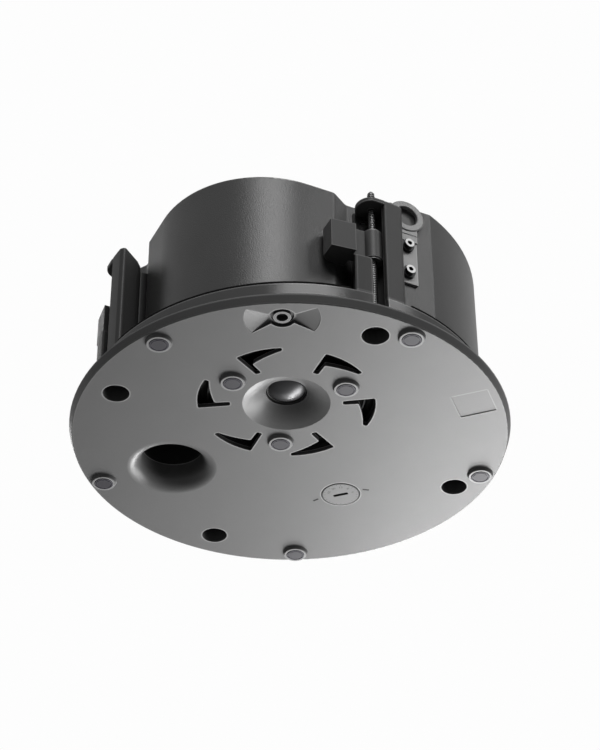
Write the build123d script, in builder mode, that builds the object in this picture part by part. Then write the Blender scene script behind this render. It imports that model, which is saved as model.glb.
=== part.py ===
from build123d import *
from math import atan2, cos, degrees, radians, sin, sqrt
import os

os.makedirs("parts", exist_ok=True)

# Heights above the plane of the magnet faces, which the part stands on
face_z = 3.0
plate_t = 3.5
flange_back_z = 9.5
collar_top_z = 28.7
tower_top_z = 118.0
roof_t = 3.0
foot_panel_top_z = 61.3
can_foot_z = 14.0
can_top_z = 136.0

# Baffle in plan, from the flange's edge inward
flange_r = 157.5
edge_draft = 19.0
edge_round = 0.8
rim_w = 31.5
flange_overlap = 12.5
collar_wall = 2.5
foot_panel_inset = 0.8
seal_t = 1.6
seal_h = 1.3
seal_from = 9.5
seal_to = 81.0
label_depth = 0.5
rim_inner_r = flange_r - rim_w
collar_r = flange_r - flange_overlap
lift_x = -1.3
lift_y = 18.0 - flange_r
label_x = flange_r - 28.0
label_y = -41.0

# Clamp stations, measured along their own radius and tangent
stations = (-63.0, 27.0, 117.0, -153.0)
clamp_inset = 11.6
tower_inset = 1.0
clamp_r = collar_r - clamp_inset
tower_r = collar_r - tower_inset
slot_cw = 6.3
slot_ccw = 4.8
access_r = 9.4
tube_r = 10.8
tube_floor_z = 16.0
tube_top_z = 19.0
lobe_r = 11.6
foot_panel_end = 18.2
foot_return = 2.3
lug_screw_z = 108.0
lug_face_inset = 7.4

# Clamp screws, bushes and dogs
screw_r = 2.5
thread_clearance = 0.08
screw_tip_z = 132.4
head_r = 5.0
head_low_z = 12.4
bush_r = 4.5
bush_flange_r = 6.2
bush_flange_t = 1.0
bush_clearance = 0.05
end_play = 0.15
dog_low_z = 68.0
dog_h = 24.0
dog_hub_r = 7.0
dog_web_in = 5.6
dog_web_out = 1.8
dog_near = 16.0
dog_far = 34.0

# Grille magnets
magnet_r = 6.85
magnet_seat_clearance = 0.1
magnet_back_z = 4.6
magnet_core_r = 5.1
magnet_groove = 0.6
magnet_groove_depth = 0.4
rim_magnet_inset = 13.15
rim_magnet_r = flange_r - rim_magnet_inset
inner_magnet_r = 45.3

# Driver, tweeter and slots
driver_x = -1.2
driver_y = -45.2
waveguide_r = 30.8
throat_r = 14.6
throat_z = 12.6
shelf_z = 14.5
slot_outer_r = 62.6
dome_sphere_r = 18.6
dome_centre_z = 28.2
cap_sphere_r = 28.2
cap_centre_z = 64.2

# Port
port_x = 39.5 - rim_inner_r
port_y = 29.5
port_bore_r = 22.5
port_wall = 2.5
port_flare = 10.0
port_back_z = 98.0

# Selector
dial_x = 35.5
dial_y = 67.3
dial_r = 14.0
dial_gap = 0.45
dial_back_z = 6.2
dial_slot_angle = -18.0
shaft_r = 3.0
shaft_clearance = 0.05

# Can, set inward from the clamps and the collar
can_wall = 1.6
can_flat = clamp_r - 12.9
can_corner_r = 77.3
can_corner_d = collar_r - 6.6 - can_corner_r
can_big_r = collar_r - 7.0
strap_flat = clamp_r - 4.9
pocket_u = clamp_r - 21.1
land_top_z = 12.0

# Hanger strap
strap_v = 28.8
strap_w = 16.0
strap_t = 2.0
eye_z = 122.3
eye_outer_r = 13.7
eye_inner_r = 8.5
eye_t = 3.2
eye_round = 1.1
eye_lip = 0.4

# Crossover board and the wiring compartment
board_x = rim_inner_r - 38.0
board_y = 2.0
cover_x = -35.0
cover_y = 35.0
cover_w = 76.0
cover_d = 52.0
cover_h = 24.0
cover_wall = 1.5
cover_post_x = 29.5
inlet_z = 11.5


def along(station, u, v):
    """Point of a station, from its radius and tangent."""
    a = radians(station)
    return (u * cos(a) - v * sin(a), u * sin(a) + v * cos(a))


def on_arc(r, v):
    """Point of a station at radius r from the axis, at tangent v."""
    return (sqrt(r * r - v * v), v)


def round_the(r, angle, x=0.0, y=0.0):
    """Point at a radius and angle from a centre."""
    return (x + r * cos(radians(angle)), y + r * sin(radians(angle)))


def station_plane(station, z):
    """Plane over a station, X along its radius."""
    return Plane((0, 0, z), x_dir=(*round_the(1, station), 0), z_dir=(0, 0, 1))


def station_planes(z):
    """The same plane over each station."""
    return [station_plane(s, z) for s in stations]


def radial_plane(station, u, z):
    """Plane facing outward along a station's radius, local X along its tangent."""
    x, y = along(station, u, 0)
    tangent = (*round_the(1, station + 90), 0)
    return Plane((x, y, z), x_dir=tangent, z_dir=(*round_the(1, station), 0))


def upright(x, y):
    """Plane through a vertical axis, local X outward and local Y upward."""
    return Plane((x, y, 0), x_dir=(1, 0, 0), z_dir=(0, -1, 0))


def axis_at(x, y):
    """Vertical axis through a point."""
    return Axis((x, y, 0), (0, 0, 1))


# Plan of the can: a rounded square with a pocket at each clamp
with BuildSketch() as can_plan:
    with BuildLine():
        for s in stations:
            into = (can_flat, -22.0)
            flat_end = (strap_flat, 17.0) if s == stations[0] else (can_flat, 14.0)
            Polyline(
                along(s, *into),
                along(s, pocket_u, -9.0),
                along(s, pocket_u, 11.0),
                along(s, *flat_end),
            )
            reach = can_flat - can_corner_r
            if s == stations[0]:
                big_v = sqrt(can_big_r**2 - strap_flat**2)
                big_from = s + degrees(atan2(big_v, strap_flat))
                big_to = 3.5
                Line(along(s, *flat_end), round_the(can_big_r, big_from))
                ThreePointArc(
                    round_the(can_big_r, big_from),
                    round_the(can_big_r, (big_from + big_to) / 2),
                    round_the(can_big_r, big_to),
                )
                step = along(s + 90, can_flat, -46.5)
                Line(round_the(can_big_r, big_to), step)
                Line(step, along(s + 90, *into))
            else:
                corner = along(s + 45, can_corner_d, 0)
                mid = along(s + 45, can_corner_d + can_corner_r, 0)
                Line(along(s, *flat_end), along(s, can_flat, reach))
                ThreePointArc(
                    along(s, can_flat, reach), mid, along(s + 90, can_flat, -reach)
                )
                Line(along(s + 90, can_flat, -reach), along(s + 90, *into))
    make_face()
    for s in stations:
        flat_end = (strap_flat, 17.0) if s == stations[0] else (can_flat, 14.0)
        for u, v, r in (
            (can_flat, -22.0, 6.0),
            (pocket_u, -9.0, 6.0),
            (pocket_u, 11.0, 4.0),
            (*flat_end, 3.5),
        ):
            spot = Vector(*along(s, u, v))
            fillet(can_plan.vertices().sort_by_distance(spot)[0], radius=r)
    for spot, r in (
        (round_the(can_big_r, big_from), 5.0),
        (round_the(can_big_r, big_to), 3.5),
        (step, 3.5),
    ):
        fillet(can_plan.vertices().sort_by_distance(Vector(*spot))[0], radius=r)

# Plan of a clamp tower's wall, in a station's own axes
with BuildSketch() as tower_plan:
    with BuildLine():
        Polyline(
            (clamp_r - 12.1, -9.0),
            (clamp_r - 9.5, -9.0),
            (clamp_r - 9.5, slot_ccw),
            on_arc(tower_r, slot_ccw),
        )
        ThreePointArc(
            on_arc(tower_r, slot_ccw), on_arc(tower_r, 11.0), on_arc(tower_r, 18.0)
        )
        Polyline(
            on_arc(tower_r, 18.0),
            (clamp_r + 6.8, 20.8),
            (clamp_r - 7.0, 10.1),
            (clamp_r - 11.0, 5.4),
            (clamp_r - 12.1, 3.0),
            (clamp_r - 12.1, -9.0),
        )
    make_face()
    for spot, r in (
        (on_arc(tower_r, slot_ccw), 1.2),
        (on_arc(tower_r, 18.0), 2.0),
        ((clamp_r + 6.8, 20.8), 2.0),
    ):
        fillet(tower_plan.vertices().sort_by_distance(Vector(*spot))[0], radius=r)

# Hollow of the tower's wall, open to the dog's channel
with BuildSketch() as tower_hollow:
    with BuildLine():
        Polyline(
            (clamp_r - 6.5, 0.0),
            (clamp_r - 6.5, 7.3),
            (clamp_r + 6.3, 17.2),
            (clamp_r + 7.8, 16.2),
            (clamp_r + 7.8, 7.6),
            (clamp_r + 6.0, 5.6),
            (clamp_r + 6.0, 0.0),
            (clamp_r - 6.5, 0.0),
        )
    make_face()

# Plan of a foot panel, with its return beside the slot
panel_r = collar_r - foot_panel_inset
with BuildSketch() as panel_plan:
    Circle(panel_r)
    Circle(collar_r - collar_wall, mode=Mode.SUBTRACT)
    with Locations((clamp_r, -foot_panel_end)):
        Rectangle(20, foot_panel_end, align=(Align.MIN, Align.MIN), mode=Mode.INTERSECT)
    with Locations((clamp_r + 3.9, -slot_cw - foot_return)):
        Rectangle(5.7, 1.8, align=(Align.MIN, Align.MIN))
    outer_corner = Vector(*on_arc(panel_r, -foot_panel_end))
    fillet(panel_plan.vertices().sort_by_distance(outer_corner)[0], radius=1.3)

with BuildPart() as baffle:
    # Plate with its thick drafted rim, and the collar
    with BuildSketch(Plane.XY.offset(flange_back_z)):
        Circle(flange_r)
    extrude(amount=face_z - flange_back_z, taper=edge_draft)
    fillet(baffle.edges().group_by(Axis.Z)[0], radius=edge_round)
    with BuildSketch(Plane.XY.offset(face_z + plate_t)):
        Circle(rim_inner_r)
    extrude(amount=flange_back_z - face_z, mode=Mode.SUBTRACT)
    with BuildSketch(Plane.XY.offset(flange_back_z - 1)):
        Circle(collar_r)
        Circle(collar_r - collar_wall, mode=Mode.SUBTRACT)
    extrude(amount=collar_top_z - flange_back_z + 1)
    # Land that the can stands on
    with BuildSketch(Plane.XY.offset(face_z + plate_t - 1)):
        offset(can_plan.sketch, amount=0.6)
        offset(can_plan.sketch, amount=-3.4, mode=Mode.SUBTRACT)
    extrude(amount=land_top_z - face_z - plate_t + 1)
    # Foot panels beside the dogs' slots
    with BuildSketch(*station_planes(flange_back_z)):
        add(panel_plan.sketch)
    extrude(amount=foot_panel_top_z - flange_back_z)
    # Slots that the dogs' webs come out through
    with BuildSketch(*station_planes(flange_back_z)):
        with Locations((tower_r - 2.2, -slot_cw)):
            Rectangle(8, slot_cw + slot_ccw, align=(Align.MIN, Align.MIN))
    extrude(amount=foot_panel_top_z, mode=Mode.SUBTRACT)
    for s in stations:
        mid_u, mid_v = on_arc(panel_r - 0.8, -slot_cw)
        top_corner = Vector(*along(s, mid_u, mid_v), foot_panel_top_z)
        fillet(baffle.edges().sort_by_distance(top_corner)[0], radius=2.0)
    # Towers with their roofs
    with BuildSketch(*station_planes(face_z + plate_t)):
        add(tower_plan.sketch)
    extrude(amount=tower_top_z - face_z - plate_t)
    with BuildSketch(*station_planes(tube_top_z)):
        add(tower_hollow.sketch)
    extrude(amount=tower_top_z - roof_t - tube_top_z, mode=Mode.SUBTRACT)
    with BuildSketch(*station_planes(tower_top_z - roof_t)):
        with Locations((clamp_r, 0)):
            Circle(lobe_r)
        Circle(tower_r + 0.2, mode=Mode.INTERSECT)
    extrude(amount=roof_t)
    # Ribs behind the towers that hold the can
    with BuildSketch(*station_planes(can_foot_z + 1)):
        with Locations((pocket_u + 0.3, 0)):
            Rectangle(9.5, 12, align=(Align.MIN, Align.CENTER))
    extrude(amount=lug_screw_z + 4 - can_foot_z)
    # Access tubes of the clamp screws
    with BuildSketch(*station_planes(face_z + plate_t)):
        with Locations((clamp_r, 0)):
            Circle(tube_r)
    extrude(amount=tube_top_z - face_z - plate_t)
    with BuildSketch(*station_planes(face_z)):
        with Locations((clamp_r, 0)):
            Circle(access_r)
    extrude(amount=tube_floor_z - face_z, mode=Mode.SUBTRACT)
    with BuildSketch(*station_planes(face_z)):
        with Locations((clamp_r, 0)):
            Circle(screw_r + thread_clearance)
    extrude(amount=tower_top_z, mode=Mode.SUBTRACT)
    # Holes for the can screws, sunk for their heads
    for s in stations:
        with BuildSketch(radial_plane(s, clamp_r - lug_face_inset, lug_screw_z)):
            Circle(2.2)
        extrude(amount=-16, mode=Mode.SUBTRACT)
        with BuildSketch(radial_plane(s, clamp_r - lug_face_inset, lug_screw_z)):
            Circle(4.3)
        extrude(amount=-4.8, mode=Mode.SUBTRACT)
    # Port flare and its spigot
    with BuildSketch(Plane.XY.offset(face_z)):
        with Locations((port_x, port_y)):
            Circle(port_bore_r + port_flare)
    extrude(amount=plate_t, mode=Mode.SUBTRACT)
    with BuildSketch(upright(port_x, port_y)):
        lip_r = port_bore_r + port_flare
        arc_z = face_z + port_flare
        sag = port_flare * cos(radians(45))
        back = port_flare - port_wall
        with BuildLine():
            ThreePointArc(
                (lip_r, face_z), (lip_r - sag, arc_z - sag), (port_bore_r, arc_z)
            )
            Polyline(
                (port_bore_r, arc_z),
                (port_bore_r, 22),
                (port_bore_r + port_wall, 22),
                (port_bore_r + port_wall, arc_z),
            )
            ThreePointArc(
                (port_bore_r + port_wall, arc_z),
                (lip_r - back * cos(radians(45)), arc_z - back * cos(radians(45))),
                (lip_r, arc_z - back),
            )
            Polyline(
                (lip_r, arc_z - back), (lip_r + 1, arc_z - back), (lip_r + 1, face_z)
            )
            Line((lip_r + 1, face_z), (lip_r, face_z))
        make_face()
    revolve(axis=axis_at(port_x, port_y))
    # Waveguide and the shelf that the tweeter sits on
    with BuildSketch(Plane.XY.offset(face_z)):
        with Locations((driver_x, driver_y)):
            Circle(waveguide_r)
    extrude(amount=plate_t, mode=Mode.SUBTRACT)
    with BuildSketch(upright(driver_x, driver_y)):
        with BuildLine():
            ThreePointArc((waveguide_r, face_z), (21.5, 7.2), (throat_r, throat_z))
            Polyline(
                (throat_r, throat_z),
                (throat_r, shelf_z),
                (27, shelf_z),
                (waveguide_r + 2.2, face_z + plate_t),
                (waveguide_r + 2.2, face_z),
                (waveguide_r, face_z),
            )
        make_face()
    revolve(axis=axis_at(driver_x, driver_y))
    # Six hooked slots in front of the cone
    with BuildSketch(Plane.XY.offset(face_z)):
        for angle in (-121, -62, -3, 59, 117, 178):
            with Locations(Location((driver_x, driver_y, 0), (0, 0, angle))):
                with BuildSketch(mode=Mode.PRIVATE) as hook:
                    with BuildLine():
                        Line(round_the(39.4, 0.6), round_the(62.0, -0.8))
                        ThreePointArc(
                            round_the(62.0, -0.8),
                            round_the(slot_outer_r, 15),
                            round_the(slot_outer_r, 30),
                        )
                        Line(round_the(slot_outer_r, 30), round_the(59.4, 29.6))
                        ThreePointArc(
                            round_the(59.4, 29.6),
                            round_the(54.3, 17.5),
                            round_the(50.2, 5.2),
                        )
                        Line(round_the(50.2, 5.2), round_the(39.3, 6.8))
                        Line(round_the(39.3, 6.8), round_the(39.4, 0.6))
                    make_face()
                    fillet(hook.vertices(), radius=1.4)
                add(hook.sketch)
    extrude(amount=plate_t, mode=Mode.SUBTRACT)
    # Selector well
    with BuildSketch(Plane.XY.offset(face_z + plate_t)):
        with Locations((dial_x, dial_y)):
            Circle(dial_r + 3.5)
    extrude(amount=3)
    with BuildSketch(Plane.XY.offset(face_z)):
        with Locations((dial_x, dial_y)):
            Circle(dial_r + dial_gap)
    extrude(amount=dial_back_z + 0.3 - face_z, mode=Mode.SUBTRACT)
    with BuildSketch(Plane.XY.offset(face_z)):
        with Locations((dial_x, dial_y)):
            Circle(shaft_r + shaft_clearance)
    extrude(amount=10, mode=Mode.SUBTRACT)
    # Winged recess for the lift tool, ramped up to the face
    for start, sweep in ((-23, 57.5), (144, 59)):
        lift = Plane(
            (lift_x, lift_y, 0),
            x_dir=(*round_the(1, start), 0),
            z_dir=(*round_the(1, start - 90), 0),
        )
        with BuildSketch(lift):
            with BuildLine():
                Polyline(
                    (1, face_z - 1),
                    (26, face_z - 1),
                    (25.6, face_z + 0.2),
                    (9.3, face_z + 2.6),
                    (1, face_z + 2.6),
                    (1, face_z - 1),
                )
            make_face()
        revolve(axis=axis_at(lift_x, lift_y), revolution_arc=sweep, mode=Mode.SUBTRACT)
    with BuildSketch(Plane.XY.offset(face_z)):
        with Locations((lift_x, lift_y)):
            Circle(9.4)
    extrude(amount=2.6, mode=Mode.SUBTRACT)
    with BuildSketch(Plane.XY.offset(face_z + 2.6)):
        with Locations((lift_x, lift_y)):
            Circle(8)
    extrude(amount=0.8, mode=Mode.SUBTRACT)
    with BuildSketch(Plane.XY.offset(face_z + 0.6)):
        with Locations((lift_x, lift_y)):
            Circle(6)
    extrude(amount=4)
    with BuildSketch(Plane.XY.offset(face_z)):
        with Locations((lift_x, lift_y)):
            Circle(4)
    extrude(amount=5, mode=Mode.SUBTRACT)
    # Magnet cups
    with BuildSketch(Plane.XY.offset(face_z)):
        with PolarLocations(rim_magnet_r, 5, start_angle=18):
            Circle(9.5)
    extrude(amount=-(face_z - 0.4), taper=24)
    with BuildSketch(Plane.XY.offset(face_z + plate_t - 2)):
        with Locations((driver_x, driver_y)):
            with PolarLocations(inner_magnet_r, 3, start_angle=-23):
                Circle(8.2)
    extrude(amount=3)
    with BuildSketch(Plane.XY.offset(face_z)):
        with Locations((driver_x, driver_y)):
            with PolarLocations(inner_magnet_r, 3, start_angle=-23):
                Circle(9.5)
    extrude(amount=-(face_z - 0.4), taper=24)
    with BuildSketch(Plane.XY.offset(0)):
        with PolarLocations(rim_magnet_r, 5, start_angle=18):
            Circle(magnet_r + magnet_seat_clearance)
        with Locations((driver_x, driver_y)):
            with PolarLocations(inner_magnet_r, 3, start_angle=-23):
                Circle(magnet_r + magnet_seat_clearance)
    extrude(amount=magnet_back_z, mode=Mode.SUBTRACT)
    # Bare label place
    with BuildSketch(Plane.XY.offset(face_z)):
        with Locations(Location((label_x, label_y, 0), (0, 0, -18))):
            Rectangle(26, 25)
    extrude(amount=label_depth, mode=Mode.SUBTRACT)
    # Standoffs of the crossover board
    with BuildSketch(Plane.XY.offset(face_z + plate_t)):
        with Locations((board_x, board_y)):
            with GridLocations(42, 32, 2, 2):
                Circle(3)
    extrude(amount=6.5)
    with BuildSketch(Plane.XY.offset(face_z + plate_t + 0.5)):
        with Locations((board_x, board_y)):
            with GridLocations(42, 32, 2, 2):
                Circle(1.5)
    extrude(amount=6, mode=Mode.SUBTRACT)
    # Blind holes of the woofer screws
    with BuildSketch(Plane.XY.offset(4.4)):
        with Locations((driver_x, driver_y)):
            with PolarLocations(66.6, 6, start_angle=12):
                Circle(2.0)
    extrude(amount=plate_t, mode=Mode.SUBTRACT)

baffle.part.label = "baffle"
export_step(baffle.part, "parts/baffle.step")

with BuildPart() as magnets:
    with BuildSketch():
        with PolarLocations(rim_magnet_r, 5, start_angle=18):
            Circle(magnet_r)
    extrude(amount=magnet_back_z)
    chamfer(magnets.edges().group_by(Axis.Z)[0], length=0.4)
    with BuildSketch():
        with PolarLocations(rim_magnet_r, 5, start_angle=18):
            Circle(magnet_core_r + magnet_groove)
            Circle(magnet_core_r, mode=Mode.SUBTRACT)
    extrude(amount=magnet_groove_depth, mode=Mode.SUBTRACT)

magnets.part.label = "rim_magnets"
export_step(magnets.part, "parts/rim_magnets.step")

with BuildPart() as inner_magnets:
    with BuildSketch():
        with Locations((driver_x, driver_y)):
            with PolarLocations(inner_magnet_r, 3, start_angle=-23):
                Circle(magnet_r)
    extrude(amount=magnet_back_z)
    chamfer(inner_magnets.edges().group_by(Axis.Z)[0], length=0.4)
    with BuildSketch():
        with Locations((driver_x, driver_y)):
            with PolarLocations(inner_magnet_r, 3, start_angle=-23):
                Circle(magnet_core_r + magnet_groove)
                Circle(magnet_core_r, mode=Mode.SUBTRACT)
    extrude(amount=magnet_groove_depth, mode=Mode.SUBTRACT)

inner_magnets.part.label = "inner_magnets"
export_step(inner_magnets.part, "parts/inner_magnets.step")

# Soft bead on the collar's top edge, in four arcs between the towers
with BuildPart() as seal:
    for s in stations:
        with BuildSketch(station_plane(s, collar_top_z)):
            with BuildLine():
                CenterArc((0, 0), panel_r, seal_from, seal_to - seal_from)
                Line(round_the(panel_r, seal_to), round_the(panel_r - seal_t, seal_to))
                CenterArc((0, 0), panel_r - seal_t, seal_to, seal_from - seal_to)
                Line(round_the(panel_r - seal_t, seal_from), round_the(panel_r, seal_from))
            make_face()
        extrude(amount=seal_h)

seal.part.label = "collar_seal"
export_step(seal.part, "parts/collar_seal.step")

# Clamp screws, bushes and dogs, one of each to a station
for n, s in enumerate(stations, 1):
    axis_x, axis_y = along(s, clamp_r, 0)
    with BuildPart() as screw:
        with BuildSketch(upright(axis_x, axis_y)):
            with BuildLine():
                Polyline(
                    (0, head_low_z),
                    (head_r - 1.2, head_low_z),
                    (head_r, head_low_z + 1.2),
                    (head_r, tube_floor_z - 0.1),
                    (screw_r, tube_floor_z - 0.1),
                    (screw_r, tube_top_z + 0.1),
                    (4.2, tube_top_z + 0.1),
                    (4.2, tube_top_z + 1.2),
                    (screw_r, tube_top_z + 1.2),
                    (screw_r, screw_tip_z - 1.8),
                    (1.4, screw_tip_z),
                    (0, screw_tip_z),
                    (0, head_low_z),
                )
            make_face()
        revolve(axis=axis_at(axis_x, axis_y))
        with BuildSketch(station_plane(s, head_low_z)):
            with Locations((clamp_r, 0)):
                Rectangle(6.4, 1.2)
                Rectangle(1.2, 6.4)
        extrude(amount=1.8, mode=Mode.SUBTRACT)
    screw.part.label = f"clamp_screw_{n}"
    export_step(screw.part, f"parts/clamp_screw_{n}.step")

    bush_low = dog_low_z - end_play - bush_flange_t
    bush_top = dog_low_z + dog_h + end_play + bush_flange_t
    with BuildPart() as bush:
        with BuildSketch(upright(axis_x, axis_y)):
            with BuildLine():
                Polyline(
                    (screw_r + thread_clearance, bush_low),
                    (bush_flange_r, bush_low),
                    (bush_flange_r, bush_low + bush_flange_t),
                    (bush_r, bush_low + bush_flange_t),
                    (bush_r, bush_top - bush_flange_t),
                    (bush_flange_r, bush_top - bush_flange_t),
                    (bush_flange_r, bush_top),
                    (screw_r + thread_clearance, bush_top),
                    (screw_r + thread_clearance, bush_low),
                )
            make_face()
        revolve(axis=axis_at(axis_x, axis_y))
    bush.part.label = f"clamp_bush_{n}"
    export_step(bush.part, f"parts/clamp_bush_{n}.step")

    with BuildPart() as dog:
        with BuildSketch(station_plane(s, dog_low_z)):
            with Locations((clamp_r, 0)):
                Circle(dog_hub_r)
            with Locations((clamp_r - dog_web_in, -dog_near - 1)):
                Rectangle(
                    dog_web_in + dog_web_out, dog_near + 1, align=(Align.MIN, Align.MIN)
                )
            with BuildLine():
                Polyline(
                    (clamp_r - 12, -dog_near),
                    (clamp_r - 12, -dog_far + 4),
                    (clamp_r - 8, -dog_far),
                    (clamp_r + 4.6, -dog_far),
                    (clamp_r + 6.7, -dog_near),
                    (clamp_r - 12, -dog_near),
                )
            make_face()
        extrude(amount=dog_h)
        with BuildSketch(station_plane(s, dog_low_z)):
            with Locations((clamp_r, 0)):
                Circle(bush_r + bush_clearance)
        extrude(amount=dog_h, mode=Mode.SUBTRACT)
    dog.part.label = f"clamp_dog_{n}"
    export_step(dog.part, f"parts/clamp_dog_{n}.step")

with BuildPart() as back_can:
    with BuildSketch(Plane.XY.offset(can_foot_z)):
        add(can_plan.sketch)
    extrude(amount=can_top_z - can_foot_z)
    fillet(back_can.edges().group_by(Axis.Z)[-1], radius=2.5)
    with BuildSketch(Plane.XY.offset(can_foot_z)):
        offset(can_plan.sketch, amount=-can_wall)
    extrude(amount=can_top_z - can_wall - can_foot_z, mode=Mode.SUBTRACT)
    for s in stations:
        with BuildSketch(radial_plane(s, pocket_u + 1, lug_screw_z)):
            Circle(2.2)
        extrude(amount=-5, mode=Mode.SUBTRACT)
    with BuildSketch(radial_plane(stations[0], strap_flat + 1, 0)):
        with Locations((strap_v, 71), (strap_v, 95)):
            Circle(2.5)
    extrude(amount=-5, mode=Mode.SUBTRACT)
    with BuildSketch(Plane.XY.offset(can_top_z)):
        with Locations((cover_x, cover_y - 11)):
            Circle(6)
        with Locations((cover_x - cover_post_x, cover_y), (cover_x + cover_post_x, cover_y)):
            Circle(1.6)
        with Locations((22, 30), (68, 30)):
            Circle(2.3)
    extrude(amount=-4, mode=Mode.SUBTRACT)

back_can.part.label = "back_can"
export_step(back_can.part, "parts/back_can.step")

with BuildPart() as gasket:
    with BuildSketch(Plane.XY.offset(land_top_z)):
        offset(can_plan.sketch, amount=0.3)
        offset(can_plan.sketch, amount=-3.0, mode=Mode.SUBTRACT)
    extrude(amount=can_foot_z - land_top_z)

gasket.part.label = "can_gasket"
export_step(gasket.part, "parts/can_gasket.step")

# Screws that hold the can to the towers' lugs, with their nuts
with BuildPart() as can_screws:
    for s in stations:
        with BuildSketch(radial_plane(s, clamp_r - lug_face_inset - 4.8, lug_screw_z)):
            Circle(3.9)
        extrude(amount=2.4)
        with BuildSketch(radial_plane(s, pocket_u - 6.3, lug_screw_z)):
            Circle(1.9)
        extrude(amount=15.3)
        with BuildSketch(radial_plane(s, pocket_u - can_wall - 3.2, lug_screw_z)):
            RegularPolygon(4.0, 6)
        extrude(amount=3.2)

can_screws.part.label = "can_screws"
export_step(can_screws.part, "parts/can_screws.step")

# Hanger strap with its thick round eye
eye_stand = 1.2
eye_x, eye_y = along(stations[0], strap_flat + eye_stand, strap_v)
upright_eye = Plane(
    (eye_x, eye_y, eye_z), x_dir=(0, 0, 1), z_dir=(*round_the(1, stations[0] + 90), 0)
)
outward = (*round_the(1, stations[0]), 0)
with BuildPart() as strap:
    with BuildSketch(radial_plane(stations[0], strap_flat, 0)):
        with Locations((strap_v, 62)):
            Rectangle(strap_w, 42, align=(Align.CENTER, Align.MIN))
    extrude(amount=strap_t)
    with BuildSketch(radial_plane(stations[0], strap_flat + 0.6, 0)):
        with Locations((strap_v, 100)):
            Rectangle(strap_w, 12, align=(Align.CENTER, Align.MIN))
    extrude(amount=strap_t + 0.6)
    with BuildSketch(radial_plane(stations[0], strap_flat + 1.6, 0)):
        with Locations((strap_v, 106)):
            Rectangle(strap_w, 8, align=(Align.CENTER, Align.MIN))
    extrude(amount=strap_t)
    with BuildSketch(upright_eye):
        with BuildLine():
            Polyline(
                (eye_inner_r, eye_lip),
                (eye_inner_r, eye_t - eye_lip),
                (eye_inner_r + eye_lip, eye_t),
                (eye_outer_r - eye_round, eye_t),
            )
            ThreePointArc(
                (eye_outer_r - eye_round, eye_t),
                (eye_outer_r - 0.293 * eye_round, eye_t - 0.293 * eye_round),
                (eye_outer_r, eye_t - eye_round),
            )
            Line((eye_outer_r, eye_t - eye_round), (eye_outer_r, eye_round))
            ThreePointArc(
                (eye_outer_r, eye_round),
                (eye_outer_r - 0.293 * eye_round, 0.293 * eye_round),
                (eye_outer_r - eye_round, 0),
            )
            Polyline(
                (eye_outer_r - eye_round, 0),
                (eye_inner_r + eye_lip, 0),
                (eye_inner_r, eye_lip),
            )
        make_face()
    revolve(axis=Axis((eye_x, eye_y, eye_z), outward))
    with BuildSketch(radial_plane(stations[0], strap_flat + eye_stand + eye_lip, 0)):
        with Locations((strap_v, eye_z)):
            Circle(eye_inner_r)
    extrude(amount=eye_t - 2 * eye_lip, mode=Mode.SUBTRACT)
    with BuildSketch(radial_plane(stations[0], strap_flat, 0)):
        with Locations((strap_v, 71), (strap_v, 95)):
            Circle(2.5)
    extrude(amount=8, mode=Mode.SUBTRACT)

strap.part.label = "hanger_strap"
export_step(strap.part, "parts/hanger_strap.step")

with BuildPart() as strap_screws:
    for z in (71, 95):
        with BuildSketch(radial_plane(stations[0], strap_flat + strap_t, z)):
            with Locations((strap_v, 0)):
                Circle(5)
        extrude(amount=2.2)
        with BuildSketch(radial_plane(stations[0], strap_flat + strap_t + 2.2, z)):
            with Locations((strap_v, 0)):
                Circle(3.5)
                Circle(1.75, mode=Mode.SUBTRACT)
        extrude(amount=2.8)
        with BuildSketch(radial_plane(stations[0], strap_flat + strap_t, z)):
            with Locations((strap_v, 0)):
                Circle(2.2)
        extrude(amount=-9)
        with BuildSketch(radial_plane(stations[0], strap_flat - can_wall, z)):
            with Locations((strap_v, 0)):
                RegularPolygon(4.5, 6)
        extrude(amount=-3)

strap_screws.part.label = "strap_screws"
export_step(strap_screws.part, "parts/strap_screws.step")

# Woofer
with BuildPart() as woofer_gasket:
    with BuildSketch(Plane.XY.offset(face_z + plate_t)):
        with Locations((driver_x, driver_y)):
            Circle(70)
            Circle(63, mode=Mode.SUBTRACT)
            with PolarLocations(66.6, 6, start_angle=12):
                Circle(2.3, mode=Mode.SUBTRACT)
    extrude(amount=3)

woofer_gasket.part.label = "woofer_gasket"
export_step(woofer_gasket.part, "parts/woofer_gasket.step")

with BuildPart() as surround:
    with BuildSketch(upright(driver_x, driver_y)):
        with BuildLine():
            Polyline((63.5, 9.6), (63.5, 10.35), (62.2, 10.35))
            ThreePointArc((62.2, 10.35), (58.2, 14.2), (54.6, 10.4))
            Line((54.6, 10.4), (54.6, 9.6))
            Line((54.6, 9.6), (55.4, 9.6))
            ThreePointArc((55.4, 9.6), (58.2, 13.4), (61.4, 9.6))
            Line((61.4, 9.6), (63.5, 9.6))
        make_face()
    revolve(axis=axis_at(driver_x, driver_y))

surround.part.label = "woofer_surround"
export_step(surround.part, "parts/woofer_surround.step")

with BuildPart() as cone:
    with BuildSketch(upright(driver_x, driver_y)):
        with BuildLine():
            ThreePointArc((54.3, 10.2), (35.0, 23.6), (16.9, 41.6))
            Line((16.9, 41.6), (16.9, 43.6))
            ThreePointArc((16.9, 43.6), (35.6, 25.0), (54.3, 11.6))
            Line((54.3, 11.6), (54.3, 10.2))
        make_face()
    revolve(axis=axis_at(driver_x, driver_y))

cone.part.label = "woofer_cone"
export_step(cone.part, "parts/woofer_cone.step")

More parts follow.
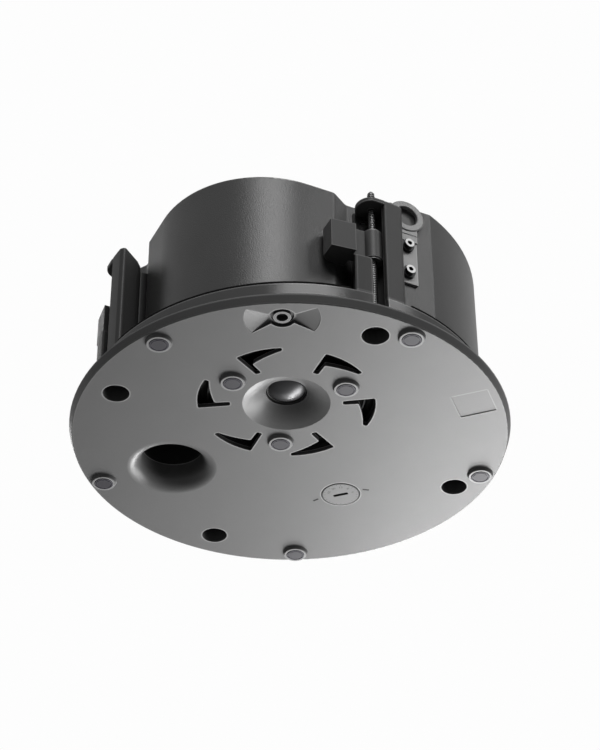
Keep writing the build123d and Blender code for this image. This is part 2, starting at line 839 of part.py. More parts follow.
with BuildPart() as dust_cap:
    with BuildSketch(upright(driver_x, driver_y)):
        with BuildLine():
            CenterArc((0, cap_centre_z), cap_sphere_r, 270, 36)
            Line(
                round_the(cap_sphere_r, 306, 0, cap_centre_z),
                round_the(cap_sphere_r - 0.8, 306, 0, cap_centre_z),
            )
            CenterArc((0, cap_centre_z), cap_sphere_r - 0.8, 306, -36)
            Line(
                (0, cap_centre_z - cap_sphere_r + 0.8), (0, cap_centre_z - cap_sphere_r)
            )
        make_face()
    revolve(axis=axis_at(driver_x, driver_y))

dust_cap.part.label = "dust_cap"
export_step(dust_cap.part, "parts/dust_cap.step")

with BuildPart() as coil:
    with BuildSketch(upright(driver_x, driver_y)):
        with BuildLine():
            Polyline(
                (16.1, 42.4),
                (16.7, 42.4),
                (16.7, 54.0),
                (17.4, 54.0),
                (17.4, 64.0),
                (16.1, 64.0),
                (16.1, 42.4),
            )
        make_face()
    revolve(axis=axis_at(driver_x, driver_y))

coil.part.label = "voice_coil"
export_step(coil.part, "parts/voice_coil.step")

with BuildPart() as spider:
    with BuildSketch(upright(driver_x, driver_y)):
        with BuildLine():
            Polyline(
                (17.1, 47.0),
                (21, 47.0),
                (24, 48.6),
                (27, 46.6),
                (30, 48.6),
                (33, 46.6),
                (36, 48.0),
                (41, 48.0),
                (41, 48.8),
                (35.6, 48.8),
                (33, 47.6),
                (30, 49.6),
                (27, 47.6),
                (24, 49.6),
                (20.6, 47.8),
                (17.1, 47.8),
                (17.1, 47.0),
            )
        make_face()
    revolve(axis=axis_at(driver_x, driver_y))

spider.part.label = "woofer_spider"
export_step(spider.part, "parts/woofer_spider.step")

with BuildPart() as basket:
    with BuildSketch(upright(driver_x, driver_y)):
        with BuildLine():
            Polyline(
                (63.6, 10.4),
                (63.6, 9.5),
                (70, 9.5),
                (70, 12),
                (63.6, 12),
                (62.8, 14.5),
                (61.4, 17.2),
                (44, 48.8),
                (44, 54),
                (45, 54),
                (45, 56),
                (22, 56),
                (22, 54.4),
                (42, 54.4),
                (42, 50.4),
                (38.5, 50.4),
                (38.5, 48.8),
                (42, 48.8),
                (60.0, 16.6),
                (61.8, 13.6),
                (62.6, 10.4),
                (63.6, 10.4),
            )
        make_face()
    revolve(axis=axis_at(driver_x, driver_y))
    with BuildSketch(Plane.XY.offset(18)):
        with Locations((driver_x, driver_y)):
            with PolarLocations(56, 6, start_angle=42):
                Rectangle(34, 30)
    extrude(amount=27, mode=Mode.SUBTRACT)
    with BuildSketch(Plane.XY.offset(9)):
        with Locations((driver_x, driver_y)):
            with PolarLocations(66.6, 6, start_angle=12):
                Circle(2.3)
    extrude(amount=4, mode=Mode.SUBTRACT)

basket.part.label = "woofer_basket"
export_step(basket.part, "parts/woofer_basket.step")

with BuildPart() as woofer_screws:
    with BuildSketch(Plane.XY.offset(4.7)):
        with Locations((driver_x, driver_y)):
            with PolarLocations(66.6, 6, start_angle=12):
                Circle(1.7)
    extrude(amount=8)
    with BuildSketch(Plane.XY.offset(12)):
        with Locations((driver_x, driver_y)):
            with PolarLocations(66.6, 6, start_angle=12):
                Circle(2.8)
    extrude(amount=2.2)

woofer_screws.part.label = "woofer_screws"
export_step(woofer_screws.part, "parts/woofer_screws.step")

with BuildPart() as top_plate:
    with BuildSketch(Plane.XY.offset(56)):
        with Locations((driver_x, driver_y)):
            Circle(42)
            Circle(18.2, mode=Mode.SUBTRACT)
    extrude(amount=6)

top_plate.part.label = "woofer_top_plate"
export_step(top_plate.part, "parts/woofer_top_plate.step")

with BuildPart() as magnet:
    with BuildSketch(Plane.XY.offset(62)):
        with Locations((driver_x, driver_y)):
            Circle(45)
            Circle(22, mode=Mode.SUBTRACT)
    extrude(amount=15)

magnet.part.label = "woofer_magnet"
export_step(magnet.part, "parts/woofer_magnet.step")

with BuildPart() as yoke:
    with BuildSketch(Plane.XY.offset(77)):
        with Locations((driver_x, driver_y)):
            Circle(42)
    extrude(amount=6)
    with BuildSketch(Plane.XY.offset(55)):
        with Locations((driver_x, driver_y)):
            Circle(15.5)
    extrude(amount=23)
    chamfer(yoke.edges().group_by(Axis.Z)[-1], length=2)

yoke.part.label = "woofer_yoke"
export_step(yoke.part, "parts/woofer_yoke.step")

# Tweeter
with BuildPart() as dome:
    with BuildSketch(upright(driver_x, driver_y)):
        with BuildLine():
            CenterArc((0, dome_centre_z), dome_sphere_r, 270, 42)
            Line(
                round_the(dome_sphere_r, 312, 0, dome_centre_z),
                round_the(dome_sphere_r - 0.6, 312, 0, dome_centre_z),
            )
            CenterArc((0, dome_centre_z), dome_sphere_r - 0.6, 312, -42)
            Line(
                (0, dome_centre_z - dome_sphere_r + 0.6),
                (0, dome_centre_z - dome_sphere_r),
            )
        make_face()
    revolve(axis=axis_at(driver_x, driver_y))

dome.part.label = "tweeter_dome"
export_step(dome.part, "parts/tweeter_dome.step")

with BuildPart() as roll:
    with BuildSketch(upright(driver_x, driver_y)):
        with BuildLine():
            Polyline((12.4, 14.9), (12.9, 14.9))
            ThreePointArc((12.9, 14.9), (13.7, 14.1), (14.5, 14.9))
            Line((14.5, 14.9), (15.6, 14.9))
            Line((15.6, 14.9), (15.6, 15.3))
            Line((15.6, 15.3), (12.4, 15.3))
            Line((12.4, 15.3), (12.4, 14.9))
        make_face()
    revolve(axis=axis_at(driver_x, driver_y))

roll.part.label = "tweeter_surround"
export_step(roll.part, "parts/tweeter_surround.step")

with BuildPart() as tweeter_plate:
    with BuildSketch(Plane.XY.offset(shelf_z)):
        with Locations((driver_x, driver_y)):
            Circle(26)
            Circle(16, mode=Mode.SUBTRACT)
    extrude(amount=0.9)
    with BuildSketch(Plane.XY.offset(shelf_z + 0.9)):
        with Locations((driver_x, driver_y)):
            Circle(26)
            Circle(13.2, mode=Mode.SUBTRACT)
    extrude(amount=2.6)

tweeter_plate.part.label = "tweeter_plate"
export_step(tweeter_plate.part, "parts/tweeter_plate.step")

with BuildPart() as tweeter_magnet:
    with BuildSketch(upright(driver_x, driver_y)):
        with BuildLine():
            Polyline(
                (0, 16.2),
                (11.6, 16.2),
                (11.6, 25.4),
                (15.4, 25.4),
                (15.4, 18),
                (20, 18),
                (20, 27),
                (18, 29),
                (0, 29),
                (0, 16.2),
            )
        make_face()
    revolve(axis=axis_at(driver_x, driver_y))

tweeter_magnet.part.label = "tweeter_magnet"
export_step(tweeter_magnet.part, "parts/tweeter_magnet.step")

# Port tube, slipped over the flare's spigot
with BuildPart() as port_tube:
    with BuildSketch(upright(port_x, port_y)):
        spigot_r = port_bore_r + port_wall
        with BuildLine():
            Polyline(
                (spigot_r + 0.05, 14),
                (spigot_r + 2, 14),
                (spigot_r + 2, 24),
                (spigot_r, 26),
                (spigot_r, port_back_z),
                (port_bore_r + 0.3, port_back_z),
                (port_bore_r + 0.3, 22.3),
                (spigot_r + 0.05, 22.3),
                (spigot_r + 0.05, 14),
            )
        make_face()
    revolve(axis=axis_at(port_x, port_y))

port_tube.part.label = "port_tube"
export_step(port_tube.part, "parts/port_tube.step")

# Tap selector
with BuildPart() as dial:
    with BuildSketch(Plane.XY.offset(2.7)):
        with Locations((dial_x, dial_y)):
            Circle(dial_r)
    extrude(amount=dial_back_z - 2.7)
    chamfer(dial.edges().group_by(Axis.Z)[0], length=0.4)
    with BuildSketch(Plane.XY.offset(dial_back_z)):
        with Locations((dial_x, dial_y)):
            Circle(shaft_r)
    extrude(amount=13)
    with BuildSketch(Plane.XY.offset(2.7)):
        with Locations(Location((dial_x, dial_y, 0), (0, 0, dial_slot_angle))):
            SlotOverall(11.5, 2.6)
    extrude(amount=1.8, mode=Mode.SUBTRACT)

dial.part.label = "selector_dial"
export_step(dial.part, "parts/selector_dial.step")

with BuildPart() as switch:
    with BuildSketch(Plane.XY.offset(9.5)):
        with Locations((dial_x, dial_y)):
            RectangleRounded(30, 30, 4)
            Circle(shaft_r + shaft_clearance, mode=Mode.SUBTRACT)
    extrude(amount=10.5)
    with BuildSketch(Plane.XY.offset(20)):
        with Locations((dial_x, dial_y)):
            Circle(13)
    extrude(amount=5)
    with BuildSketch(Plane.XY.offset(25)):
        with Locations((dial_x, dial_y)):
            with PolarLocations(10, 6):
                Rectangle(0.8, 2.8)
    extrude(amount=4)

switch.part.label = "selector_switch"
export_step(switch.part, "parts/selector_switch.step")

# Line transformer, hung from the can's top
roof_in = can_top_z - can_wall
with BuildPart() as core:
    with Locations((45, 30, roof_in - 25)):
        Box(56, 24, 46)
        with Locations((14, 0, 0), (-14, 0, 0)):
            Box(10, 24, 28, mode=Mode.SUBTRACT)
    with Locations((45, 30, roof_in)):
        Box(72, 16, 2, align=(Align.CENTER, Align.CENTER, Align.MAX))
    with Locations((45 - 33, 30, roof_in), (45 + 33, 30, roof_in)):
        Cylinder(2.2, 6, mode=Mode.SUBTRACT)

core.part.label = "transformer_core"
export_step(core.part, "parts/transformer_core.step")

with BuildPart() as winding:
    with Locations((45, 30, roof_in - 25)):
        Box(37.4, 42, 27.4)
        Box(18.6, 24.6, 30, mode=Mode.SUBTRACT)
    fillet(winding.edges().filter_by(Axis.Z).group_by(SortBy.DISTANCE)[-1], radius=4)

winding.part.label = "transformer_winding"
export_step(winding.part, "parts/transformer_winding.step")

# Crossover
with BuildPart() as board:
    with BuildSketch(Plane.XY.offset(13)):
        with Locations((board_x, board_y)):
            Rectangle(50, 40)
            with GridLocations(42, 32, 2, 2):
                Circle(1.6, mode=Mode.SUBTRACT)
    extrude(amount=1.6)

board.part.label = "crossover_board"
export_step(board.part, "parts/crossover_board.step")

with BuildPart() as board_screws:
    with BuildSketch(Plane.XY.offset(8)):
        with Locations((board_x, board_y)):
            with GridLocations(42, 32, 2, 2):
                Circle(1.2)
    extrude(amount=7)
    with BuildSketch(Plane.XY.offset(14.6)):
        with Locations((board_x, board_y)):
            with GridLocations(42, 32, 2, 2):
                Circle(2.6)
    extrude(amount=1.8)

board_screws.part.label = "board_screws"
export_step(board_screws.part, "parts/board_screws.step")

with BuildPart() as coils:
    with BuildSketch(Plane.XY.offset(14.6)):
        with Locations((board_x - 10, board_y), (board_x + 13, board_y - 6)):
            Circle(10)
            Circle(4, mode=Mode.SUBTRACT)
    extrude(amount=13)

coils.part.label = "crossover_coils"
export_step(coils.part, "parts/crossover_coils.step")

with BuildPart() as capacitors:
    with BuildSketch(Plane.XY.offset(14.6)):
        with Locations((board_x + 9, board_y + 12)):
            Rectangle(14, 7)
        with Locations((board_x - 8, board_y + 15)):
            Rectangle(13, 6)
    extrude(amount=12)

capacitors.part.label = "crossover_capacitors"
export_step(capacitors.part, "parts/crossover_capacitors.step")

# Wiring compartment on the can's top
post_places = [(cover_x - cover_post_x, cover_y), (cover_x + cover_post_x, cover_y)]
wall_out = cover_y + cover_d / 2
wall_in = wall_out - cover_wall
upward = (Align.CENTER, Align.CENTER, Align.MIN)
with BuildPart() as cover:
    with Locations((cover_x, cover_y, can_top_z)):
        Box(cover_w, cover_d, cover_h, align=upward)
    fillet(cover.edges().filter_by(Axis.Z), radius=4)
    with Locations((cover_x, cover_y, can_top_z)):
        Box(
            cover_w - 2 * cover_wall,
            cover_d - 2 * cover_wall,
            cover_h - cover_wall,
            align=upward,
            mode=Mode.SUBTRACT,
        )
    with BuildSketch(Plane.XY.offset(can_top_z)):
        with Locations(*post_places):
            Circle(4)
    extrude(amount=cover_h)
    with BuildSketch(Plane.XY.offset(can_top_z)):
        with Locations(*post_places):
            Circle(1.9)
    extrude(amount=cover_h, mode=Mode.SUBTRACT)
    inlet_plane = Plane(
        (cover_x, wall_out, can_top_z + inlet_z), x_dir=(1, 0, 0), z_dir=(0, 1, 0)
    )
    with BuildSketch(inlet_plane):
        Circle(9)
    extrude(amount=-4, mode=Mode.SUBTRACT)

cover.part.label = "terminal_cover"
export_step(cover.part, "parts/terminal_cover.step")

with BuildPart() as cover_screws:
    with BuildSketch(Plane.XY.offset(can_top_z + cover_h)):
        with Locations(*post_places):
            Circle(3.2)
    extrude(amount=2)
    with BuildSketch(Plane.XY.offset(can_top_z + cover_h)):
        with Locations(*post_places):
            Circle(1.3)
    extrude(amount=-cover_h - 5)

cover_screws.part.label = "cover_screws"
export_step(cover_screws.part, "parts/cover_screws.step")

with BuildPart() as grommet:
    inlet_level = Plane(
        (cover_x, 0, can_top_z + inlet_z), x_dir=(1, 0, 0), z_dir=(0, 0, 1)
    )
    with BuildSketch(inlet_level):
        with BuildLine():
            Polyline(
                (7.2, wall_in - 1.7),
                (10.6, wall_in - 1.7),
                (10.6, wall_in - 0.3),
                (8.7, wall_in - 0.3),
                (8.7, wall_out + 0.3),
                (10.6, wall_out + 0.3),
                (10.6, wall_out + 1.7),
                (7.2, wall_out + 1.7),
                (7.2, wall_in - 1.7),
            )
        make_face()
    revolve(axis=Axis((cover_x, 0, can_top_z + inlet_z), (0, 1, 0)))

grommet.part.label = "inlet_grommet"
export_step(grommet.part, "parts/inlet_grommet.step")

with BuildPart() as block:
    with Locations((cover_x, cover_y + 7, can_top_z)):
        Box(42, 16, 6, align=(Align.CENTER, Align.CENTER, Align.MIN))
        Box(42, 11, 13, align=(Align.CENTER, Align.CENTER, Align.MIN))
    with Locations((cover_x, cover_y + 7, can_top_z + 13)):
        with GridLocations(10, 1, 4, 1):
            Cylinder(2.6, 8, mode=Mode.SUBTRACT)

block.part.label = "terminal_block"
export_step(block.part, "parts/terminal_block.step")

with BuildPart() as block_screws:
    with Locations((cover_x, cover_y + 7, can_top_z + 9)):
        with GridLocations(10, 1, 4, 1):
            Cylinder(2.3, 3, align=(Align.CENTER, Align.CENTER, Align.MIN))

block_screws.part.label = "terminal_screws"
export_step(block_screws.part, "parts/terminal_screws.step")

with BuildPart() as pad:
    with Locations((-45, -25, roof_in)):
        Box(90, 70, 10, align=(Align.CENTER, Align.CENTER, Align.MAX))

pad.part.label = "damping_pad"
export_step(pad.part, "parts/damping_pad.step")
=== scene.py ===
from math import cos, pi, radians, sin

import bpy
import numpy as np
from mathutils import Matrix


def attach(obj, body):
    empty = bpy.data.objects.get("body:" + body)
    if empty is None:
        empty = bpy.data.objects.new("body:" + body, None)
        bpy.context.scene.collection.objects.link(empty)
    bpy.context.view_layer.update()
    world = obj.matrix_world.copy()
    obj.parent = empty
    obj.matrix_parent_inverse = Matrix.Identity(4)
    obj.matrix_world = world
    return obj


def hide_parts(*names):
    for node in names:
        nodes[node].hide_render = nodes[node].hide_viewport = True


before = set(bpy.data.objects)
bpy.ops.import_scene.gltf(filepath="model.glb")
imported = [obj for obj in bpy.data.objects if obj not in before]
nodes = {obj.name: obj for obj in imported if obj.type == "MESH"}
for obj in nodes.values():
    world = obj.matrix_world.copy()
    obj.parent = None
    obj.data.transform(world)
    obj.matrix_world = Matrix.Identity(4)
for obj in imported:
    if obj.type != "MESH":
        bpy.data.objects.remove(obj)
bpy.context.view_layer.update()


# The baffle is one injection moulding of glass-filled black plastic: plate, rim,
# collar, clamp towers, waveguide and port flare. Its mould was spark eroded, so it
# has a fine even grain. Its outer edges are made lighter as painted highlights, and its recesses
# darker as painted shade.
def shader_node(tree, kind, inputs=(), **settings):
    """Adds one node: settings are its own properties, inputs its values or links."""
    made = tree.nodes.new("ShaderNode" + kind)
    for key, value in settings.items():
        setattr(made, key, value)
    for key, value in dict(inputs).items():
        if isinstance(value, bpy.types.NodeSocket):
            tree.links.new(value, made.inputs[key])
        else:
            made.inputs[key].default_value = value
    return made


def calc(tree, operation, *values):
    """The result of one math node on numbers or links."""
    return shader_node(tree, "Math", dict(enumerate(values)), operation=operation).outputs[0]


def between(tree, share, low, high):
    """A number that goes from low to high as share goes from 0 to 1."""
    limits = {"Value": share, "To Min": low, "To Max": high}
    return shader_node(tree, "MapRange", limits).outputs[0]


def new_group(name, inputs, outputs):
    """A shader node group with named numbers in and out, and the sockets of its two ends."""
    tree = bpy.data.node_groups.new(name, "ShaderNodeTree")
    for label, value in inputs.items():
        socket = tree.interface.new_socket(label, in_out="INPUT", socket_type="NodeSocketFloat")
        socket.default_value = value
    for label in outputs:
        tree.interface.new_socket(label, in_out="OUTPUT", socket_type="NodeSocketFloat")
    first, last = (tree.nodes.new(f"NodeGroup{end}") for end in ("Input", "Output"))
    return tree, first.outputs, last.inputs


mm_per_metre = 1000.0


def grain_group():
    """Height is a fine noise on object coordinates; Tone is 1 plus a share of a broad one."""
    tree, given, result = new_group(
        "surface_grain", {"Grain mm": 0.5, "Mottle": 0.1}, ("Height", "Tone")
    )
    blotches_per_metre = 38.0
    place = shader_node(tree, "TexCoord").outputs["Object"]
    grains_per_metre = calc(tree, "DIVIDE", mm_per_metre, given["Grain mm"])
    fine = shader_node(
        tree, "TexNoise", {"Vector": place, "Scale": grains_per_metre, "Detail": 2.0}
    )
    broad = shader_node(
        tree, "TexNoise", {"Vector": place, "Scale": blotches_per_metre, "Detail": 3.0}
    )
    centred = calc(tree, "SUBTRACT", broad.outputs["Fac"], 0.5)
    tone = calc(tree, "MULTIPLY_ADD", centred, given["Mottle"], 1.0)
    tree.links.new(fine.outputs["Fac"], result["Height"])
    tree.links.new(tone, result["Tone"])
    return tree


def light_and_shade_group():
    """Edge is 1 where short rays into the solid come out again, as they do along outer edges:
    a mask for painted highlights. Hollow is 1 where longer rays outwards are stopped, as they are
    in recesses: a mask for painted shade."""
    tree, given, result = new_group(
        "edge_highlight_and_recess_shade", {"Edge mm": 0.8, "Hollow mm": 14.0}, ("Edge", "Hollow")
    )
    for label, inside, free_at_0, free_at_1 in (
        ("Edge", True, 0.93, 0.62),
        ("Hollow", False, 0.85, 0.25),
    ):
        reach = calc(tree, "MULTIPLY", given[f"{label} mm"], 1 / mm_per_metre)
        rays = shader_node(
            tree,
            "AmbientOcclusion",
            {"Distance": reach},
            inside=inside,
            only_local=inside,
            samples=6,
        )
        mask = shader_node(
            tree,
            "MapRange",
            {"Value": rays.outputs["AO"], "From Min": free_at_0, "From Max": free_at_1},
        )
        tree.links.new(mask.outputs[0], result[label])
    return tree


surface_grain = grain_group()
edge_highlight_and_recess_shade = light_and_shade_group()


def linear(grey):
    """Linear value of an sRGB grey from 0 to 255."""
    g = grey / 255
    return g / 12.92 if g <= 0.04045 else ((g + 0.055) / 1.055) ** 2.4


def finish(
    name, colour, rough,
    grain_mm=0.5, bump=0.1, mottle=0.12, metal=0.0, edge_highlight=0.0, recess_shade=0.0, shine=0.5,
):
    """A finish with its grain as bump. Its base colour is the colour times the mottle,
    times 1 + edge on outer edges as a painted highlight, and 1 - hollow in deep recesses as
    painted shade."""
    grain_depth = 0.0004
    if not isinstance(colour, tuple):
        colour = (linear(colour),) * 3
    material = bpy.data.materials.new(name)
    material.use_nodes = True
    tree = material.node_tree
    grain = shader_node(
        tree, "Group", {"Grain mm": grain_mm, "Mottle": mottle}, node_tree=surface_grain
    ).outputs
    tone = grain["Tone"]
    if edge_highlight or recess_shade:
        painted_marks = shader_node(tree, "Group", node_tree=edge_highlight_and_recess_shade, name="Edges")
        for label, share in (("Edge", edge_highlight), ("Hollow", -recess_shade)):
            factor = calc(tree, "MULTIPLY_ADD", painted_marks.outputs[label], share, 1.0)
            tone = calc(tree, "MULTIPLY", tone, factor)
    tint = shader_node(
        tree, "VectorMath", {0: colour, "Scale": tone}, operation="SCALE", name="Tint"
    )
    relief = shader_node(
        tree,
        "Bump",
        {"Strength": bump, "Distance": grain_depth, "Height": grain["Height"]},
        name="Relief",
    )
    shader = tree.nodes["Principled BSDF"].inputs
    tree.links.new(tint.outputs[0], shader["Base Color"])
    tree.links.new(relief.outputs[0], shader["Normal"])
    shader["Roughness"].default_value = rough
    shader["Metallic"].default_value = metal
    shader["Specular IOR Level"].default_value = shine
    return material


def dress(material, *names):
    """Puts one finish on CAD nodes."""
    for name in names:
        mesh = nodes[name].data
        mesh.materials.clear()
        mesh.materials.append(material)


def round_an_axis(tree, x=0.0, y=0.0):
    """A point's distance from the upright axis at x and y, and its height."""
    place = shader_node(tree, "TexCoord").outputs["Object"]
    level = shader_node(tree, "VectorMath", {0: place, 1: (1, 1, 0)}, operation="MULTIPLY")
    away = shader_node(
        tree, "VectorMath", {0: level.outputs[0], 1: (x, y, 0)}, operation="DISTANCE"
    )
    split = shader_node(tree, "SeparateXYZ", {0: place})
    return away.outputs["Value"], split.outputs["Z"]


# The collar is polished by the mould's sliding jaws, and the towers above it are matt,
# with their colour darkened as painted shade.
face_rough, collar_rough = 0.38, 0.17
face_shine, tower_shine, tower_painted_shade = 0.25, 0.15, 0.68
collar_r, flange_top, tower_low = 0.1445, 0.0097, 0.0312
baffle_plastic = finish(
    "baffle_plastic", 80, face_rough,
    grain_mm=0.45, bump=0.12, edge_highlight=2.2, recess_shade=0.6, shine=face_shine,
)
tree = baffle_plastic.node_tree
tree.nodes["Edges"].inputs["Edge mm"].default_value = 1.3
off_axis, height = round_an_axis(tree)
far_out = calc(tree, "GREATER_THAN", off_axis, collar_r)
above = calc(tree, "GREATER_THAN", height, flange_top)
on_collar = calc(tree, "MULTIPLY", far_out, above)
on_tower = calc(tree, "GREATER_THAN", height, tower_low)
painted_shade_factor = between(tree, on_tower, 1.0, tower_painted_shade)
shaded_tower_tint = shader_node(
    tree, "VectorMath", {0: tree.nodes["Tint"].outputs[0], "Scale": painted_shade_factor}, operation="SCALE"
)
shader = tree.nodes["Principled BSDF"].inputs
tree.links.new(between(tree, on_collar, face_rough, collar_rough), shader["Roughness"])
tree.links.new(between(tree, on_tower, face_shine, tower_shine), shader["Specular IOR Level"])
tree.links.new(shaded_tower_tint.outputs[0], shader["Base Color"])
dress(baffle_plastic, "baffle")


# The collar seal is a strip of black closed-cell foam in four lengths, stuck on top
# of the collar between the clamp towers. It stops air where the collar fills the hole.
def mesh_piece(name, points, faces, material, body, smooth):
    """A new piece that rides on a body, from an array of points and its faces."""
    mesh = bpy.data.meshes.new(name)
    mesh.from_pydata(points.tolist(), [], faces)
    mesh.polygons.foreach_set("use_smooth", [smooth] * len(mesh.polygons))
    mesh.update()
    mesh.materials.append(material)
    piece = bpy.data.objects.new(name, mesh)
    bpy.context.scene.collection.objects.link(piece)
    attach(piece, body)
    return piece


def grid_piece(name, grid, material, body, end_caps=False):
    """A surface on a grid of points whose rows are closed profiles: each four
    neighbours make a face, and end_caps closes the first and last profile."""
    rows, cols = grid.shape[:2]
    i, j = np.meshgrid(np.arange(rows - 1), np.arange(cols), indexing="ij")
    k = (j + 1) % cols
    faces = np.stack([i * cols + j, (i + 1) * cols + j, (i + 1) * cols + k, i * cols + k], -1)
    faces = faces.reshape(-1, 4).tolist()
    if end_caps:
        last = (rows - 1) * cols
        faces += [list(range(cols)), list(range(last + cols - 1, last - 1, -1))]
    return mesh_piece(name, grid.reshape(-1, 3), faces, material, body, smooth=True)


def squared(wave, power=0.45):
    """A sine or cosine that stays near 1 and -1 for longer: its size to a power below 1."""
    return np.sign(wave) * np.abs(wave) ** power


stations = (-63.0, 27.0, 117.0, -153.0)
seal_in, seal_out = 0.1426, 0.1449
seal_low, seal_high = 0.0287, 0.0308
seal_start, seal_end = 9.5, 81
profile_points, profiles = 24, 73
# The foam's near-black colour is also painted shade for the dark gap between collar and can.
gap_shade_foam = finish(
    "seal_foam_and_gap_shade", (0.004, 0.004, 0.004), 0.9, grain_mm=0.35, bump=0.5, mottle=0.3, shine=0.1
)
around = np.linspace(0, 2 * pi, profile_points, endpoint=False)
ring_r = (seal_in + seal_out) / 2 + (seal_out - seal_in) / 2 * squared(np.cos(around))
ring_z = (seal_low + seal_high) / 2 + (seal_high - seal_low) / 2 * squared(np.sin(around))
strip_z = np.broadcast_to(ring_z, (profiles, profile_points))
for n, station in enumerate(stations, 1):
    a = np.radians(np.linspace(station + seal_start, station + seal_end, profiles))[:, None]
    grid = np.stack([ring_r * np.cos(a), ring_r * np.sin(a), strip_z], -1)
    strip = grid_piece(f"seal_strip_{n}", grid, gap_shade_foam, "housing", end_caps=True)
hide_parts("collar_seal")


# The tweeter has a dark anodised metal dome on a soft rubber roll, clamped in a
# black plate behind the waveguide's throat, with a small ferrite magnet above it.
dome_metal = finish("dome_metal", (0.05, 0.05, 0.052), 0.36, grain_mm=0.3, bump=0.02, metal=0.5)
dress(dome_metal, "tweeter_dome")
roll_rubber = finish("roll_rubber", 18, 0.6, grain_mm=0.3, bump=0.1, shine=0.2)
dress(roll_rubber, "tweeter_surround")
black_plate = finish("black_plate", 18, 0.5, grain_mm=0.8, bump=0.15, shine=0.3)
dress(black_plate, "tweeter_plate")
ferrite = finish("ferrite", 42, 0.75, grain_mm=1.2, bump=0.35, mottle=0.35)
dress(ferrite, "tweeter_magnet")


# The woofer's cone is moulded black plastic on a rubber roll, in a basket of black
# painted steel. Its motor is zinc-plated plates round a ferrite ring, and a copper
# coil hangs from a corrugated spider of resin-dipped cloth.
cone_skin = finish("cone_skin", 16, 0.6, grain_mm=0.9, bump=0.2, shine=0.2)
dress(cone_skin, "woofer_cone", "dust_cap")
dress(roll_rubber, "woofer_surround")
dress(black_plate, "woofer_basket")
dress(ferrite, "woofer_magnet")
zinc = finish("zinc_plate", (0.5, 0.5, 0.51), 0.35, grain_mm=0.4, bump=0.05, metal=1.0)
dress(zinc, "woofer_top_plate", "woofer_yoke", "woofer_screws")
gasket_foam = finish("gasket_foam", 24, 0.9, grain_mm=0.7, bump=0.6, mottle=0.3)
dress(gasket_foam, "woofer_gasket")


def band_group():
    """Band goes from 0 to 1 and back once in each pitch along one direction: a sine
    of the object coordinates' share in that direction."""
    tree, given, result = new_group(
        "fine_bands",
        {"Pitch mm": 0.4, "Along X": 0.0, "Along Y": 0.0, "Along Z": 1.0},
        ("Band",),
    )
    place = shader_node(tree, "TexCoord").outputs["Object"]
    way = shader_node(tree, "CombineXYZ", {axis: given[f"Along {axis}"] for axis in "XYZ"})
    along = shader_node(
        tree, "VectorMath", {0: place, 1: way.outputs[0]}, operation="DOT_PRODUCT"
    )
    turns = calc(tree, "DIVIDE", 2 * pi * mm_per_metre, given["Pitch mm"])
    wave = calc(tree, "SINE", calc(tree, "MULTIPLY", along.outputs["Value"], turns))
    tree.links.new(calc(tree, "MULTIPLY_ADD", wave, 0.5, 0.5), result["Band"])
    return tree


fine_bands = band_group()


def banded(material, pitch_mm, way, dark, depth=0.5):
    """Adds ridges to a finish: between them the colour falls to dark times itself. Two
    sets of ridges multiply their colours, and the second one gives the relief."""
    ridge_depth = 0.0003
    tree = material.node_tree
    along = dict(zip(("Along X", "Along Y", "Along Z"), way))
    band = shader_node(
        tree, "Group", {"Pitch mm": pitch_mm, **along}, node_tree=fine_bands
    ).outputs["Band"]
    scale = tree.nodes["Tint"].inputs["Scale"]
    tone = calc(tree, "MULTIPLY", scale.links[0].from_socket, between(tree, band, dark, 1.0))
    tree.links.new(tone, scale)
    grain = tree.nodes["Relief"].outputs[0]
    ridges = shader_node(
        tree, "Bump", {"Strength": depth, "Distance": ridge_depth, "Height": band, "Normal": grain}
    )
    tree.links.new(ridges.outputs[0], tree.nodes["Principled BSDF"].inputs["Normal"])
    return material


across_x, across_y, layered = (1, 0, 0), (0, 1, 0), (0, 0, 1)
copper = finish("copper_wire", (0.62, 0.28, 0.12), 0.3, metal=0.9)
dress(banded(copper, 0.35, layered, 0.35), "voice_coil")
spider_cloth = finish("spider_cloth", (0.42, 0.27, 0.10), 0.8, grain_mm=0.4, bump=0.3)
for way in (across_x, across_y):
    banded(spider_cloth, 0.8, way, 0.6)
dress(spider_cloth, "woofer_spider")


# The port is a tube of black plastic pushed onto the flare's spigot. The tap
# selector's switch stands on the baffle's back and is of the same plastic.
tube_plastic = finish("tube_plastic", 28, 0.5, grain_mm=0.6, bump=0.15)
dress(tube_plastic, "port_tube", "selector_switch")


# The tap selector is a disc of pale plastic with a screwdriver slot, and printed
# ticks and watts round it. Two dashes printed on the baffle show where its taps end.
def two_tone(material, share, low=None, high=None):
    """Base colour goes from low to high as share goes from 0 to 1. One that isn't
    given is the finish's own. A colour mix has its colours in inputs 6 and 7."""
    tree = material.node_tree
    own = tree.nodes["Tint"].outputs[0]
    mix = shader_node(
        tree, "Mix", {"Factor": share, 6: low or own, 7: high or own}, data_type="RGBA"
    )
    tree.links.new(mix.outputs[2], tree.nodes["Principled BSDF"].inputs["Base Color"])


dial_x, dial_y = 0.0355, 0.0673
dial_print_z, baffle_print_z = 0.002675, 0.002975
pale_r, pale_z = 0.0131, 0.00274
dial_plastic = finish("dial_plastic", 92, 0.5, grain_mm=0.4, bump=0.06, shine=0.3)
tree = dial_plastic.node_tree
# Only the dial's face within pale_r is pale: its slot walls and outer rim are near black, as
# painted shade.
off_axis, height = round_an_axis(tree, dial_x, dial_y)
inside = calc(tree, "LESS_THAN", off_axis, pale_r)
on_face = calc(tree, "LESS_THAN", height, pale_z)
pale_else_shade = calc(tree, "MULTIPLY", inside, on_face)
two_tone(dial_plastic, pale_else_shade, low=(0.006, 0.006, 0.006, 1))
dress(dial_plastic, "selector_dial")
dial_ink = finish("dial_ink", 52, 0.6, bump=0.0, shine=0.2)
dash_ink = finish("dash_ink", 14, 0.6, bump=0.0, shine=0.1)


